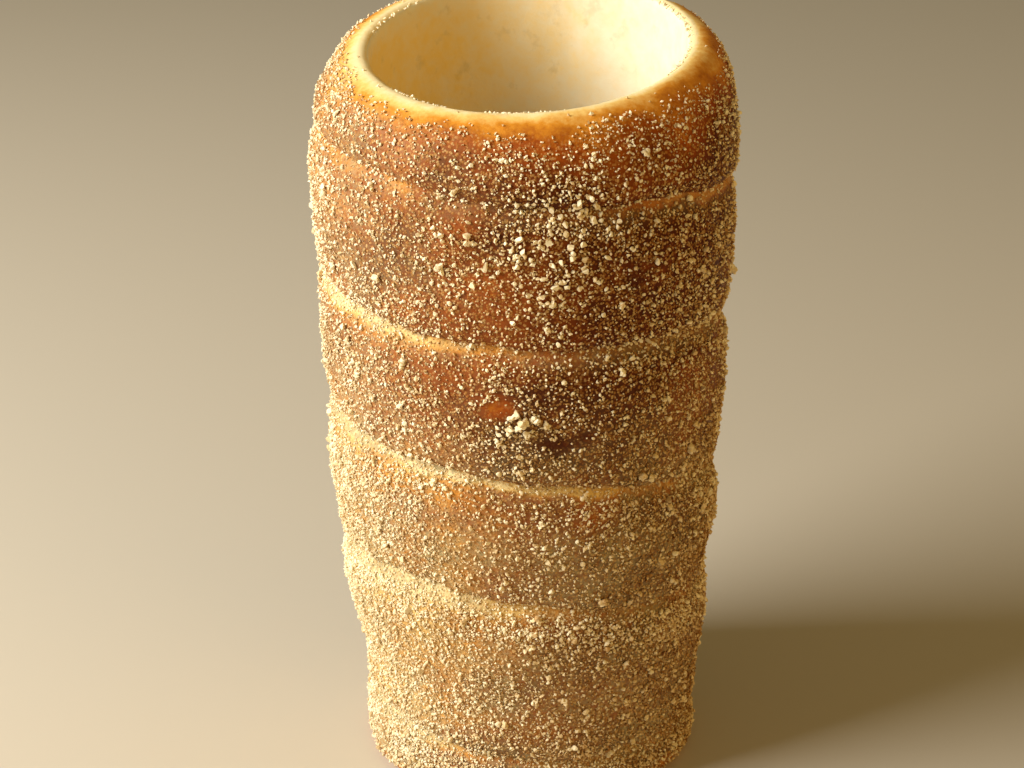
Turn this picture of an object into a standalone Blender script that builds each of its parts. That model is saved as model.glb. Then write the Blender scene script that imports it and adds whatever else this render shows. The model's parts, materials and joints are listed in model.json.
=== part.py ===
"""A chimney cake, standing on end.

One long strip of sweet yeast dough is wound round a tapered wooden mandrel, rolled in sugar
crumbs, baked over heat and slid off. What is left is a tall hollow roll, open at both ends:
the turns of the strip have grown together, and the seam between them runs round the crust as
a shallow left-handed spiral. The wider end is up. Its rim is a soft rounded shoulder, and the
crust carries crumbs, of which the largest are part of the solid.

Lengths below are in millimetres, turned to metres by MM. The front of the cake is -Y, its base
lies on z = 0, and angles run counter-clockwise from +X, seen from above.
"""

import math
import random

import bmesh
import bpy
import numpy as np
from mathutils import Matrix, Vector

MM = 0.001

# The whole roll
HEIGHT = 148.0
RIM_TILT_BACK = 3.2
RIM_TILT_RIGHT = 1.4
LEAN = -1.5
LEAN_FROM = 18.0
LEAN_TO = 78.0

# The strip: how far one turn falls, where it starts, and how far its seam strays from an even
# fall, as met at the left, front left, front, front right and right of each turn
PITCH = 28.2
START_ANGLE = 30.0
SEAM_DRIFT = (
    (-2.6, 0.8, 0.6, 2.1, 1.1),
    (-2.0, -0.4, 1.7, 3.0, 1.2),
    (-1.0, 1.4, 2.0, 0.7, -2.3),
    (-5.0, 2.6, 3.1, 1.9, 2.2),
    (-9.5, -7.0, -5.5, -3.5, -1.5),
)
DRIFT_FROM = (180.0 - START_ANGLE) / 360.0

# Outer radius of the strip at every half turn, from the end at the rim to the end at the base
STRIP_RADII = (37.3, 38.8, 39.6, 39.5, 38.9, 38.9, 38.2, 37.4, 36.6, 35.1, 32.9, 33.1, 33.2)
RADII_FROM = DRIFT_FROM - 1.0
CROWN = 0.4
SEAM_DEPTH = 1.0
SEAM_WIDTH = 1.7

# The rim and the base
SHOULDER_DROP = 16.0
SHOULDER_RUN = 20.0
RIM_LIP = 1.3
LIP_ROLL = 1.3
LIP_ROLL_AT = 215.0
BASE_ROUND = 2.6
BASE_INSET = 1.6

# The bore that the mandrel leaves
BORE_RADIUS_TOP = 30.2
BORE_RADIUS_BASE = 23.6

# How finely the shape is cut
COLUMNS = 72
STRIP_ROWS = (0.0, 0.046, 0.113, 0.29, 0.5, 0.71, 0.887, 0.954)
FIRST_TURN = -1
LAST_TURN = 6
BORE_HEIGHTS = (1.0, 14.0, 30.0, 47.0, 64.0, 81.0, 97.0, 112.0, 125.0, 135.0, 142.0)
SNAP = 0.45

# The largest crumbs of the coating
CRUMBS = 76
CRUMB_SIZE = (1.5, 2.4)
CRUMB_SINK = 0.28
CLUMP_ANGLE = 269.3
CLUMP_HEIGHT = 89.0
CLUMP = ((0.0, 0.0, 2.9), (2.3, 0.9, 2.2), (-1.7, 1.6, 2.3), (0.9, -2.1, 2.0), (-2.3, -1.2, 1.7))
SEED = 11

CRUST_COLOUR = (0.46, 0.20, 0.055, 1.0)


def ramp(value, low, high):
    """0 below low, 1 above high, and a smooth slope between."""
    x = np.clip((value - low) / (high - low), 0.0, 1.0)
    return x * x * (3.0 - 2.0 * x)


def through(values, x):
    """A smooth curve through evenly spaced values, read at x, where 0 is the first of them."""
    last = len(values) - 1
    x = min(max(x, 0.0), last - 1e-9)
    i = int(x)
    f = x - i
    before = values[max(i - 1, 0)]
    here = values[i]
    after = values[i + 1]
    beyond = values[min(i + 2, last)]
    bend = 2.0 * before - 5.0 * here + 4.0 * after - beyond
    twist = 3.0 * (here - after) + beyond - before
    return here + 0.5 * f * (after - before + f * (bend + f * twist))


def drift_knots():
    """The seam's drift at every eighth of a turn: the five that show, and three behind that
    lead over to the next turn."""
    knots = []
    for turn, row in enumerate(SEAM_DRIFT):
        knots.extend(row)
        if turn + 1 < len(SEAM_DRIFT):
            gap = SEAM_DRIFT[turn + 1][0] - row[-1]
            knots.extend(row[-1] + gap * step / 4.0 for step in (1, 2, 3))
    return knots


DRIFT = drift_knots()


def seam_height(turns):
    """Height of the seam after so many turns from the strip's start. Above the rim this runs
    on as a straight fall, which the rim cuts off."""
    under_way = float(ramp(turns, 0.0, DRIFT_FROM))
    start = (rim_height(math.radians(START_ANGLE)) + 0.2 - HEIGHT) * (1.0 - under_way)
    drift = through(DRIFT, (turns - DRIFT_FROM) * 8.0) * under_way
    ripple = 0.25 * math.sin(2.0 * math.pi * 2.7 * turns + 1.0) * under_way
    return HEIGHT - PITCH * turns + start + drift + ripple


def strip_radius(turns):
    return through(STRIP_RADII, (turns - RADII_FROM) * 2.0)


def rim_height(angle):
    return HEIGHT + RIM_TILT_BACK * math.sin(angle) + RIM_TILT_RIGHT * math.cos(angle)


def lean(height):
    """How far the roll's middle has moved in X at this height."""
    return LEAN * float(ramp(height, LEAN_FROM, LEAN_TO))


def bore_radius(height):
    slope = (BORE_RADIUS_TOP - BORE_RADIUS_BASE) / HEIGHT
    return BORE_RADIUS_BASE + slope * height


def lip_roll(angle):
    """How far the rim rolls in over the bore: most at the front left, and not at all opposite."""
    return LIP_ROLL * (0.5 + 0.5 * math.cos(angle - math.radians(LIP_ROLL_AT))) ** 1.5


def way_down(height, angle):
    """Distance along the crust from the rim's crest down to a height."""
    drop = rim_height(angle) - height
    if drop <= 0.0:
        return drop
    if drop >= SHOULDER_DROP:
        return SHOULDER_RUN + drop - SHOULDER_DROP
    return SHOULDER_RUN * math.acos(1.0 - drop / SHOULDER_DROP) / (math.pi / 2.0)


def unevenness(angle, height):
    """The soft lumps of hand-rolled dough."""
    slow = 0.22 * math.sin(2.0 * angle + 0.055 * height + 0.6)
    slow += 0.16 * math.sin(3.0 * angle - 0.09 * height + 2.1)
    quick = 0.11 * math.sin(7.0 * angle + 0.21 * height) * math.sin(0.37 * height + 1.3)
    quick += 0.08 * math.sin(11.0 * angle - 0.33 * height + 0.7)
    return slow + quick


def crust_point(angle, turn, across):
    """A point of the crust: across runs from 0 at the strip's upper seam to 1 at its lower one,
    in the turn that starts at START_ANGLE after so many whole turns."""
    turns = (math.degrees(angle) - START_ANGLE) / 360.0 + turn
    upper = way_down(seam_height(turns), angle)
    lower = way_down(seam_height(turns + 1.0), angle)
    down = upper + (lower - upper) * across
    if down < SNAP:
        down = 0.0
    if down > way_down(BASE_ROUND, angle) - SNAP:
        return foot_point(angle)
    return crust_at(angle, down, turns, across, down - upper, lower - down)


def foot_point(angle):
    """Where the crust ends above the rounded edge of the base, whatever turn that falls in."""
    for turn in range(LAST_TURN - 2, LAST_TURN):
        turns = (math.degrees(angle) - START_ANGLE) / 360.0 + turn
        upper = way_down(seam_height(turns), angle)
        lower = way_down(seam_height(turns + 1.0), angle)
        down = way_down(BASE_ROUND, angle)
        if down <= lower:
            break
    across = (down - upper) / (lower - upper)
    return crust_at(angle, down, turns, across, down - upper, lower - down)


def crust_at(angle, down, turns, across, from_upper, from_lower):
    top = rim_height(angle)
    if down < SHOULDER_RUN:
        bow = down / SHOULDER_RUN * math.pi / 2.0
        height = top - SHOULDER_DROP * (1.0 - math.cos(bow))
        out, up = math.sin(bow), math.cos(bow)
    else:
        height = top - SHOULDER_DROP - (down - SHOULDER_RUN)
        out, up = 1.0, 0.0
    # Each turn is widest in its upper half, and draws in towards the one below. The last turns
    # do so sooner.
    wide, narrow = strip_radius(turns), strip_radius(turns + 1.0)
    sooner = 0.25 * float(ramp(turns, 2.7, 3.4))
    radius = wide + (narrow - wide) * float(ramp(across, 0.43 - sooner, 0.96 - 0.5 * sooner))
    crest = bore_radius(top) + RIM_LIP - lip_roll(angle)
    radius = crest + (radius - crest) * out
    # The strip bulges a little, and the dough is pinched in where two turns meet.
    raised = CROWN * (1.0 - (2.0 * across - 1.0) ** 4)
    pinch = math.exp(-((max(from_upper, 0.0) / SEAM_WIDTH) ** 1.3))
    pinch += math.exp(-((max(from_lower, 0.0) / SEAM_WIDTH) ** 1.3))
    raised += unevenness(angle, height) - SEAM_DEPTH * min(pinch, 1.0)
    raised *= float(ramp(down, 0.0, 7.0))
    radius += raised * out
    height += raised * up
    return radius, height


def profile(column):
    """The wall of the roll cut at one angle, as (radius, height): up the bore, over the rim,
    down the crust and back under the base."""
    angle = math.radians(START_ANGLE + 360.0 * column / COLUMNS)
    top = rim_height(angle)
    points = [(bore_radius(0.0) + 1.0, 0.0)]
    for height in BORE_HEIGHTS:
        rough = 0.12 * math.sin(5.0 * angle + 0.11 * height)
        rolled = lip_roll(angle) * float(ramp(height, 136.0, 147.0))
        points.append((bore_radius(height) + rough - rolled, height * top / HEIGHT))
    mouth = bore_radius(top) - lip_roll(angle)
    points.append((mouth, top - 1.5))
    points.append((mouth + 0.35, top - 0.4))
    for turn in range(FIRST_TURN, LAST_TURN):
        points.extend(crust_point(angle, turn, across) for across in STRIP_ROWS)
    foot = points[-1][0]
    points.append((foot - 0.30 * BASE_INSET, 0.30 * BASE_ROUND))
    points.append((foot - BASE_INSET, 0.0))
    points.append(points[0])
    return angle, points


def wall_mesh():
    """A flat grid with a column for each angle, bent round into the roll and welded where its
    ends meet. The rows of the crust follow the strip, so one end meets the other a turn on."""
    sections = [profile(column) for column in range(COLUMNS + 1)]
    rows = len(sections[0][1])
    bm = bmesh.new()
    bmesh.ops.create_grid(bm, x_segments=COLUMNS, y_segments=rows - 1, size=1.0)
    for vert in bm.verts:
        column = round((vert.co.x + 1.0) / 2.0 * COLUMNS)
        row = round((vert.co.y + 1.0) / 2.0 * (rows - 1))
        angle, points = sections[column]
        radius, height = points[row]
        x = radius * math.cos(angle) + lean(height)
        vert.co = (x * MM, radius * math.sin(angle) * MM, height * MM)
    bmesh.ops.remove_doubles(bm, verts=bm.verts, dist=0.000002)
    bmesh.ops.triangulate(bm, faces=bm.faces)
    bmesh.ops.recalc_face_normals(bm, faces=bm.faces)
    mesh = bpy.data.meshes.new("chimney_cake")
    bm.to_mesh(mesh)
    bm.free()
    return mesh


def crust_place(angle, height):
    """Where the crust lies at an angle and height, found by walking the turns."""
    for turn in range(FIRST_TURN, LAST_TURN):
        turns = (math.degrees(angle) - START_ANGLE) / 360.0 + turn
        upper, lower = seam_height(turns), seam_height(turns + 1.0)
        if lower <= height <= upper:
            first, last = way_down(upper, angle), way_down(lower, angle)
            down = way_down(height, angle)
            across = (down - first) / (last - first)
            radius, up = crust_at(angle, down, turns, across, down - first, last - down)
            x = radius * math.cos(angle) + lean(up)
            return Vector((x, radius * math.sin(angle), up))
    raise ValueError("no crust at this height")


def add_crumb(angle, height, size, draw, collection):
    """One crumb: an uneven little lump, part sunk in the crust."""
    place = crust_place(angle, height)
    beside = crust_place(angle + 0.03, height) - place
    above = crust_place(angle, height + 1.5) - place
    out = beside.cross(above).normalized()
    bm = bmesh.new()
    bmesh.ops.create_icosphere(bm, subdivisions=1, radius=0.5)
    shape = [draw.uniform(0.78, 1.15), draw.uniform(0.78, 1.15), draw.uniform(0.62, 0.85)]
    for vert in bm.verts:
        jitter = draw.uniform(0.84, 1.14)
        vert.co = Vector([vert.co[i] * shape[i] * jitter for i in range(3)])
    spin = Matrix.Rotation(draw.uniform(0.0, 6.283), 4, "Z")
    turn = out.to_track_quat("Z", "Y").to_matrix().to_4x4()
    centre = (place + out * size * (0.5 * shape[2] - CRUMB_SINK)) * MM
    bm.transform(Matrix.Translation(centre) @ turn @ spin @ Matrix.Scale(size * MM, 4))
    bmesh.ops.recalc_face_normals(bm, faces=bm.faces)
    mesh = bpy.data.meshes.new("crumb")
    bm.to_mesh(mesh)
    bm.free()
    collection.objects.link(bpy.data.objects.new("crumb", mesh))


def crumb_places(draw):
    """Angle, height and size of each crumb, the largest first: spread round the roll by the
    golden angle, which keeps them apart, and kept off the bare shoulder."""
    golden = math.pi * (3.0 - math.sqrt(5.0))
    low, high = CRUMB_SIZE
    places = []
    for k in range(CRUMBS):
        angle = (k * golden) % (2.0 * math.pi) + math.radians(START_ANGLE)
        share = ((k * 0.754877666) % 1.0) ** 0.92
        height = 7.0 + 121.0 * share + draw.uniform(-1.5, 1.5)
        size = high - (high - low) * k / CRUMBS
        places.append((angle, height, size))
    middle = math.radians(CLUMP_ANGLE)
    for aside, up, size in CLUMP:
        places.append((middle + aside / 39.0, CLUMP_HEIGHT + up, size))
    return places


def fuse(body, crumbs):
    """Joins the crumbs to the roll, then drops their own objects."""
    union = body.modifiers.new("crumbs", "BOOLEAN")
    union.operation = "UNION"
    union.operand_type = "COLLECTION"
    union.collection = crumbs
    union.solver = "EXACT"
    bpy.context.view_layer.objects.active = body
    bpy.ops.object.modifier_apply(modifier=union.name)
    for crumb in list(crumbs.objects):
        bpy.data.objects.remove(crumb, do_unlink=True)
    bpy.data.collections.remove(crumbs)


def keep_largest(bm):
    """Removes any scrap that the joining left beside the roll."""
    left = set(bm.verts)
    shells = []
    while left:
        front = [left.pop()]
        shell = set(front)
        while front:
            vert = front.pop()
            for edge in vert.link_edges:
                other = edge.other_vert(vert)
                if other not in shell:
                    shell.add(other)
                    front.append(other)
        left -= shell
        shells.append(shell)
    shells.sort(key=len)
    for shell in shells[:-1]:
        bmesh.ops.delete(bm, geom=list(shell), context="VERTS")


def centre(mesh):
    """Puts the middle of the roll's outline over the origin, with its base on z = 0."""
    points = np.array([vert.co for vert in mesh.vertices])
    middle = (points.min(axis=0) + points.max(axis=0)) / 2.0
    mesh.transform(Matrix.Translation((-middle[0], -middle[1], 0.0)))
    return -middle[0], -middle[1]


def crust_material():
    material = bpy.data.materials.new("baked_crust")
    material.use_nodes = True
    shader = material.node_tree.nodes["Principled BSDF"]
    shader.inputs["Base Color"].default_value = CRUST_COLOUR
    shader.inputs["Roughness"].default_value = 0.7
    return material


def main():
    for obj in list(bpy.data.objects):
        bpy.data.objects.remove(obj, do_unlink=True)
    scene = bpy.context.scene
    scene.unit_settings.system = "METRIC"
    scene.unit_settings.scale_length = 1.0
    cake = bpy.data.collections.new("chimney_cake")
    crumbs = bpy.data.collections.new("crumbs")
    scene.collection.children.link(cake)
    scene.collection.children.link(crumbs)

    body = bpy.data.objects.new("chimney_cake", wall_mesh())
    cake.objects.link(body)

    draw = random.Random(SEED)
    for angle, height, size in crumb_places(draw):
        add_crumb(angle, height, size, draw, crumbs)
    fuse(body, crumbs)

    bm = bmesh.new()
    bm.from_mesh(body.data)
    keep_largest(bm)
    bmesh.ops.triangulate(bm, faces=bm.faces)
    bmesh.ops.recalc_face_normals(bm, faces=bm.faces)
    bm.to_mesh(body.data)
    bm.free()
    moved = centre(body.data)
    print("moved by", [round(value / MM, 3) for value in moved], "mm")
    print("triangles", len(body.data.polygons))

    body.data.materials.clear()
    body.data.materials.append(crust_material())
    for polygon in body.data.polygons:
        polygon.use_smooth = True


main()
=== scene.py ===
# %% [markdown]
# # A chimney cake, dressed over its solid
# A chimney cake is one long strip of sweet yeast dough, wound round a tapered wooden mandrel,
# rolled in sugar crumbs and baked over heat. The solid already has its size and its spiral.
# This script lays a finely cut crust over it, scatters the crumbs, and gives each surface its
# own finish. It starts by loading the solid, and notes the box that the solid fills.

# %% Load the solid
import json
import math
import random

import bmesh
import bpy
import numpy as np
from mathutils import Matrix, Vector

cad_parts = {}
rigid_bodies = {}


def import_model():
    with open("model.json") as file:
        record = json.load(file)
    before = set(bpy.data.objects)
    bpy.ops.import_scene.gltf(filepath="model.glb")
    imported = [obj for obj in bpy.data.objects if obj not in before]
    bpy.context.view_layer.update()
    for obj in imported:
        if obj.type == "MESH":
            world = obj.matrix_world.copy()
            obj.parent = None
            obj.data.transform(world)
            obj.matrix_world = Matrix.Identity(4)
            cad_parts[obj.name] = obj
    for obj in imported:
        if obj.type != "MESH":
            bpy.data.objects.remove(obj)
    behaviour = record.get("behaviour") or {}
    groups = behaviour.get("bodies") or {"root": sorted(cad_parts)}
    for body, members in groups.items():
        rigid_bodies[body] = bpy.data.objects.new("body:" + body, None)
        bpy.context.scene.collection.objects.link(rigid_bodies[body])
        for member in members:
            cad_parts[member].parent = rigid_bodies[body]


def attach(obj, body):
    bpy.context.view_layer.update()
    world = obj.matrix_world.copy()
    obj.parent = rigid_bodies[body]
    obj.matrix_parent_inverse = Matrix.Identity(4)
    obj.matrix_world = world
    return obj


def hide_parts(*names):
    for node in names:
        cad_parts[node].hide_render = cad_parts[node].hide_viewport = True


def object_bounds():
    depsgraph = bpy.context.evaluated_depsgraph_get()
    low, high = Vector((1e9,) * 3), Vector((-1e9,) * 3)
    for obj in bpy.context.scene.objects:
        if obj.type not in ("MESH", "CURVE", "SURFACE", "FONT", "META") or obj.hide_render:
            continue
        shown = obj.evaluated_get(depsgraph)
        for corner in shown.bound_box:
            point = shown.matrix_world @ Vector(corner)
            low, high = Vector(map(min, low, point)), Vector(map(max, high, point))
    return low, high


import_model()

cad_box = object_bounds()
MM = 0.001
for word, corner in zip(("solid from", "to"), cad_box):
    print(word, [round(c / MM, 1) for c in corner], "mm")

# %% [markdown]
# ## The camera
# The cake is seen from above through a long lens, so the outlines of the roll hardly narrow
# towards its foot. A camera set up by place, pitch and focal length keeps those three apart,
# where a camera aimed at a target would mix them.

# %% Camera
FOCAL_PX, FRAME_PX, SENSOR_MM = 2500.0, 1024.0, 36.0
PITCH_DEG = 25.5
CAMERA_AT_MM = (-2.28, -444.45, 290.0)
camera_data = bpy.data.cameras.new("camera")
camera_data.sensor_width = SENSOR_MM
camera_data.lens = FOCAL_PX / FRAME_PX * SENSOR_MM
camera = bpy.data.objects.new("camera", camera_data)
camera.location = [c * MM for c in CAMERA_AT_MM]
camera.rotation_euler = (math.radians(90.0 - PITCH_DEG), 0.0, 0.0)
bpy.context.scene.collection.objects.link(camera)
bpy.context.scene.camera = camera
print("lens", round(camera_data.lens, 1), "mm")

# %% [markdown]
# ## Small helpers for the shape
# The same plain rules that made the solid make the fine crust, this time worked out for whole
# arrays of points at once, which numpy does quickly. `ramp` is a smooth step and `fade` is that
# step turned round, `through` is a smooth curve through evenly spaced values, and `lumps` is a
# soft random field that closes on itself round the roll, so it shows no join.

# %% Curve and noise helpers
FIELD_ROWS, FIELD_START = 400, 60.0


def ramp(value, low, high):
    x = np.clip((value - low) / (high - low), 0.0, 1.0)
    return x * x * (3.0 - 2.0 * x)


def fade(value, low, high):
    return 1.0 - ramp(value, low, high)


def through(values, x):
    values = np.asarray(values, float)
    last = len(values) - 1
    x = np.clip(x, 0.0, last - 1e-9)
    i = x.astype(int)
    f = x - i
    before, here = values[np.maximum(i - 1, 0)], values[i]
    after, beyond = values[i + 1], values[np.minimum(i + 2, last)]
    bend = 2.0 * before - 5.0 * here + 4.0 * after - beyond
    twist = 3.0 * (here - after) + beyond - before
    return here + 0.5 * f * (after - before + f * (bend + f * twist))


def lumps(angle, height, round_cells, cell_mm, seed):
    """A soft random field from -1 to 1, with so many cells round the roll."""
    draw = np.random.default_rng(seed)
    grid = draw.uniform(-1.0, 1.0, (round_cells, FIELD_ROWS))
    u = np.mod(angle / (2.0 * np.pi), 1.0) * round_cells
    v = (height + FIELD_START) / cell_mm
    i, j = np.floor(u).astype(int), np.floor(v).astype(int)
    a, b = u - i, v - j
    a, b = a * a * (3.0 - 2.0 * a), b * b * (3.0 - 2.0 * b)
    i0, i1, j0, j1 = i % round_cells, (i + 1) % round_cells, j % FIELD_ROWS, (j + 1) % FIELD_ROWS
    low = grid[i0, j0] * (1.0 - a) + grid[i1, j0] * a
    high = grid[i0, j1] * (1.0 - a) + grid[i1, j1] * a
    return low * (1.0 - b) + high * b


# %% [markdown]
# ## The shape of the roll
# These sizes are the solid's own, in millimetres: the fall of the strip, its radius at every
# half turn, the soft shoulder at the rim, the inner lip that rolls in over the bore at the
# front left, and the tapered bore. Angles run counter-clockwise from +X seen from above, with
# the front of the cake at 270 degrees.

# %% Sizes of the roll
HEIGHT, RIM_TILT_BACK, RIM_TILT_RIGHT = 148.0, 3.2, 1.4
LEAN, LEAN_FROM, LEAN_TO = -1.5, 18.0, 78.0
# The solid was moved by this much, so that its box is centred
MOVED_X, MOVED_Y = 1.567, 0.225
PITCH, START_ANGLE = 28.2, 30.0
# One row for each turn in front, from its left edge to its right: how far the seam is off
SEAM_DRIFT = (
    (-2.6, 0.8, 0.6, 2.1, 1.1),
    (-2.0, -0.4, 1.7, 3.0, 1.2),
    (-1.0, 1.4, 2.0, 0.7, -2.3),
    (-5.0, 2.6, 3.1, 1.9, 2.2),
    (-9.5, -7.0, -5.5, -3.5, -1.5),
)
DRIFT_FROM = (180.0 - START_ANGLE) / 360.0
STRIP_RADII = (37.3, 38.8, 39.6, 39.5, 38.9, 38.9, 38.2, 37.4, 36.6, 35.1, 32.9, 33.1, 33.2)
RADII_FROM = DRIFT_FROM - 1.0
TAPER_FROM, TAPER_TO, EARLY_TAPER = 0.43, 0.96, 0.25
CROWN, SEAM_DEPTH = 0.4, 1.15
SEAM_ABOVE, SEAM_BELOW = 1.0, 2.3
SHOULDER_DROP, SHOULDER_RUN, RIM_LIP, SMOOTH_RIM = 16.0, 20.0, 1.3, 7.0
LIP_ROLL, LIP_ROLL_AT, ROLL_FROM, ROLL_TO = 1.3, 215.0, 136.0, 147.0
BASE_ROUND, BASE_INSET = 2.6, 1.6
BORE_RADIUS_TOP, BORE_RADIUS_BASE = 30.2, 23.6
FIRST_TURN, LAST_TURN = -1, 6

# %% [markdown]
# The sizes become rules that give a height, a radius or a way down the crust for any point.
# The seam falls evenly but for its drift, which was read off each turn in front and is eased
# over the back, where nothing shows it.

# %% Rules of the roll
def every_eighth(rows):
    """The values met on the side that shows, eased over the back to the next turn."""
    knots = []
    for turn, row in enumerate(rows):
        knots.extend(row)
        if turn + 1 < len(rows):
            gap = rows[turn + 1][0] - row[-1]
            knots.extend(row[-1] + gap * step / 4.0 for step in (1, 2, 3))
    return knots


DRIFT = every_eighth(SEAM_DRIFT)


def by_eighth(knots, turns):
    return through(knots, (turns - DRIFT_FROM) * 8.0)


def facing(angle, towards):
    """1 on the side that faces this way, in degrees, easing to 0 on the side opposite."""
    return 0.5 + 0.5 * np.cos(angle - math.radians(towards))


def rim_height(angle):
    return HEIGHT + RIM_TILT_BACK * np.sin(angle) + RIM_TILT_RIGHT * np.cos(angle)


def seam_height(turns):
    under_way = ramp(turns, 0.0, DRIFT_FROM)
    start = (rim_height(math.radians(START_ANGLE)) + 0.2 - HEIGHT) * (1.0 - under_way)
    drift = by_eighth(DRIFT, turns) * under_way
    ripple = 0.25 * np.sin(2.0 * math.pi * 2.7 * turns + 1.0) * under_way
    crooked = 0.22 * np.sin(2.0 * math.pi * 9.3 * turns)
    crooked = crooked + 0.14 * np.sin(2.0 * math.pi * 23.7 * turns + 2.0)
    return HEIGHT - PITCH * turns + start + drift + ripple + crooked * under_way


def strip_radius(turns):
    return through(STRIP_RADII, (turns - RADII_FROM) * 2.0)


def lean(height):
    return LEAN * ramp(height, LEAN_FROM, LEAN_TO)


def bore_radius(height):
    return BORE_RADIUS_BASE + (BORE_RADIUS_TOP - BORE_RADIUS_BASE) / HEIGHT * height


def lip_roll(angle):
    """How far the rim rolls in over the bore: most at the front left, and not at all opposite."""
    return LIP_ROLL * facing(angle, LIP_ROLL_AT) ** 1.5


def way_down(height, angle):
    """Distance along the crust from the crest of the rim down to a height."""
    drop = rim_height(angle) - height
    bow = np.arccos(1.0 - np.clip(drop / SHOULDER_DROP, 0.0, 1.0)) / (np.pi / 2.0)
    beyond = np.where(drop > SHOULDER_DROP, drop - SHOULDER_DROP, 0.0)
    return np.where(drop <= 0.0, drop, SHOULDER_RUN * bow + beyond)


# %% [markdown]
# ## Where a point of the crust lies
# A point is named by its angle and by how far down the crust it is. From those follow the turn
# of the strip that it is on and how far it is from the seams above and below, and every later
# choice, such as colour and crumbs, hangs on these distances. The relief is a crowned strip,
# pinched at each seam: the upper turn ends in a small rounded lip, and the lower one rises
# from under it in a longer slope. Soft lumps of the dough come last.

# %% The crust as a rule
def turn_of(angle, down):
    """Turns wound so far, share of the strip's width, and distance to both its seams."""
    start = (np.degrees(angle) - START_ANGLE) / 360.0
    start = start - np.floor(start)
    counts = range(FIRST_TURN, LAST_TURN + 1)
    seams = np.stack([way_down(seam_height(start + count), angle) for count in counts])
    which = np.clip((seams <= down).sum(axis=0) - 1, 0, len(seams) - 2)
    upper = np.take_along_axis(seams, which[None], 0)[0]
    lower = np.take_along_axis(seams, which[None] + 1, 0)[0]
    return start + which + FIRST_TURN, (down - upper) / (lower - upper), down - upper, lower - down


def unevenness(angle, height):
    slow = 0.22 * np.sin(2.0 * angle + 0.055 * height + 0.6)
    slow = slow + 0.16 * np.sin(3.0 * angle - 0.09 * height + 2.1)
    quick = 0.11 * np.sin(7.0 * angle + 0.21 * height) * np.sin(0.37 * height + 1.3)
    quick = quick + 0.08 * np.sin(11.0 * angle - 0.33 * height + 0.7)
    fine = 0.16 * lumps(angle, height, 44, 5.5, 3) + 0.09 * lumps(angle, height, 110, 2.2, 4)
    return slow + quick + fine


def crust(angle, down, turns, across, from_upper, from_lower):
    """Radius and height of crust points."""
    top = rim_height(angle)
    bow = np.clip(down / SHOULDER_RUN, 0.0, 1.0) * np.pi / 2.0
    beyond = np.maximum(down - SHOULDER_RUN, 0.0)
    height = top - SHOULDER_DROP * (1.0 - np.cos(bow)) - beyond
    out, up = np.sin(bow), np.where(beyond > 0.0, 0.0, np.cos(bow))
    wide, narrow = strip_radius(turns), strip_radius(turns + 1.0)
    sooner = EARLY_TAPER * ramp(turns, 2.7, 3.4)
    radius = wide + (narrow - wide) * ramp(across, TAPER_FROM - sooner, TAPER_TO - 0.5 * sooner)
    crest = bore_radius(top) + RIM_LIP - lip_roll(angle)
    radius = crest + (radius - crest) * out
    raised = CROWN * (1.0 - (2.0 * across - 1.0) ** 4)
    pinch = np.exp(-((np.maximum(from_upper, 0.0) / SEAM_BELOW) ** 1.2))
    pinch = pinch + np.exp(-((np.maximum(from_lower, 0.0) / SEAM_ABOVE) ** 1.3))
    raised = raised + unevenness(angle, height) - SEAM_DEPTH * np.minimum(pinch, 1.0)
    raised = raised * ramp(down, 0.0, SMOOTH_RIM)
    return radius + raised * out, height + raised * up


def in_space(angle, radius, height):
    """Metres in the frame, from an angle, a radius and a height in millimetres."""
    x = radius * np.cos(angle) + lean(height) + MOVED_X
    y = radius * np.sin(angle) + MOVED_Y
    return np.stack([x, y, height + 0.0 * x], axis=-1) * MM


def on_crust(angle, down):
    """Places, outward normals and seam facts for crumbs."""
    facts = turn_of(angle, down)
    here = in_space(angle, *crust(angle, down, *facts))
    near, lower = angle + 0.012, down + 0.5
    beside = in_space(near, *crust(near, down, *turn_of(near, down)))
    below = in_space(angle, *crust(angle, lower, *turn_of(angle, lower)))
    out = np.cross(below - here, beside - here)
    return here, out / np.linalg.norm(out, axis=1, keepdims=True), facts


# %% [markdown]
# ## How brown the crust is
# Baking browns the proud middle of each turn first. Under the lip of the turn above the dough
# stays pale, the rim's edge hardly colours at all, and here and there the crust is bare. The crust
# is also made paler on the lit left, which is partly painted light and partly less baking. One
# number for each point, 0 for raw pale dough and 1 for the darkest crust, carries all of that
# to the material, and in the bore it carries a painted shade, more golden on the left. Two more
# say how much sugar sticks, and how strong the film of the finest sugar is, which is too fine for
# crumbs. They are stored in the mesh, since only the mesh knows where the seam runs.

# %% Bands and spots
# Each row is a turn, read as the seam's drift is: how pale its band is, then how wide, in mm
BAND_STRENGTH = every_eighth((
    (0.24, 0.2, 0.08, 0.6, 0.85),
    (0.85, 0.76, 0.28, 0.3, 0.4),
    (1.0, 1.0, 1.0, 0.5, 0.34),
    (0.8, 0.62, 0.46, 0.3, 0.3),
    (0.85, 0.85, 0.45, 0.35, 0.4),
))
BAND_WIDTH = every_eighth((
    (2.2, 1.8, 1.6, 1.6, 2.0),
    (3.0, 2.2, 1.9, 1.9, 2.0),
    (2.8, 1.7, 1.5, 1.7, 2.0),
    (6.5, 4.2, 2.9, 2.1, 2.2),
    (2.4, 2.0, 2.0, 2.3, 2.4),
))
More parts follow.
